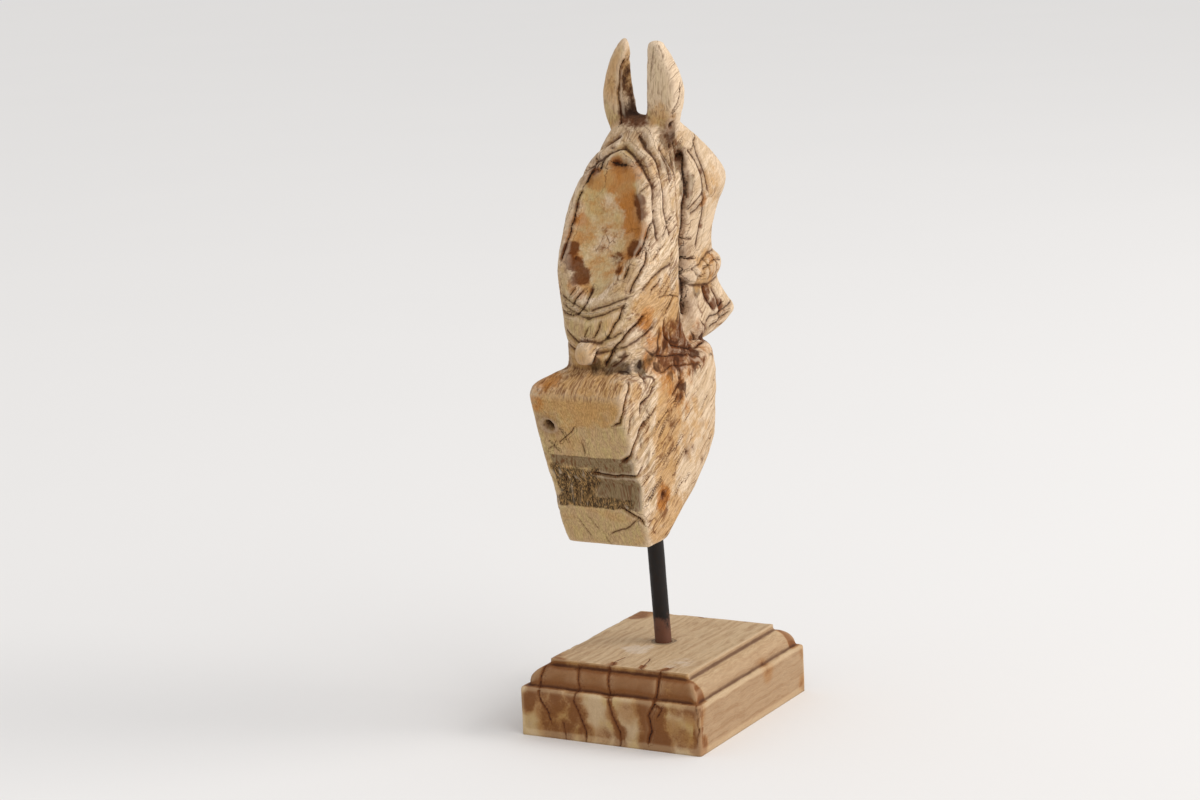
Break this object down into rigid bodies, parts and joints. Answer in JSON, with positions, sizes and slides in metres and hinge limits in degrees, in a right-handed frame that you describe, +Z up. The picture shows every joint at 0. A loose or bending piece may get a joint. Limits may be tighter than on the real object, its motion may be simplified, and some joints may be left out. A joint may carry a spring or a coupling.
{
  "type": "horse head sculpture",
  "caption": "Weathered carved wooden horse head with upright ears and a block-shaped bust, held by an iron rod over a moulded wooden base.",
  "frame": {"origin": "middle of the base's underside", "axes": "+Z up; the horse looks along -Y, so +Y is its back and +X its left side"},
  "size_m": [0.12, 0.1831, 0.41],
  "materials": {
    "driftwood": "bleached, weathered bare wood with drying cracks and brown stains",
    "iron": "dark waxed iron with brown rust near its foot",
    "base_wood": "old bare wood, planed smooth, red-brown stains along its cracks"
  },
  "bodies": {
    "root": {"horse_head": "driftwood", "rod": "iron", "base": "base_wood"}
  },
  "joints": []
}
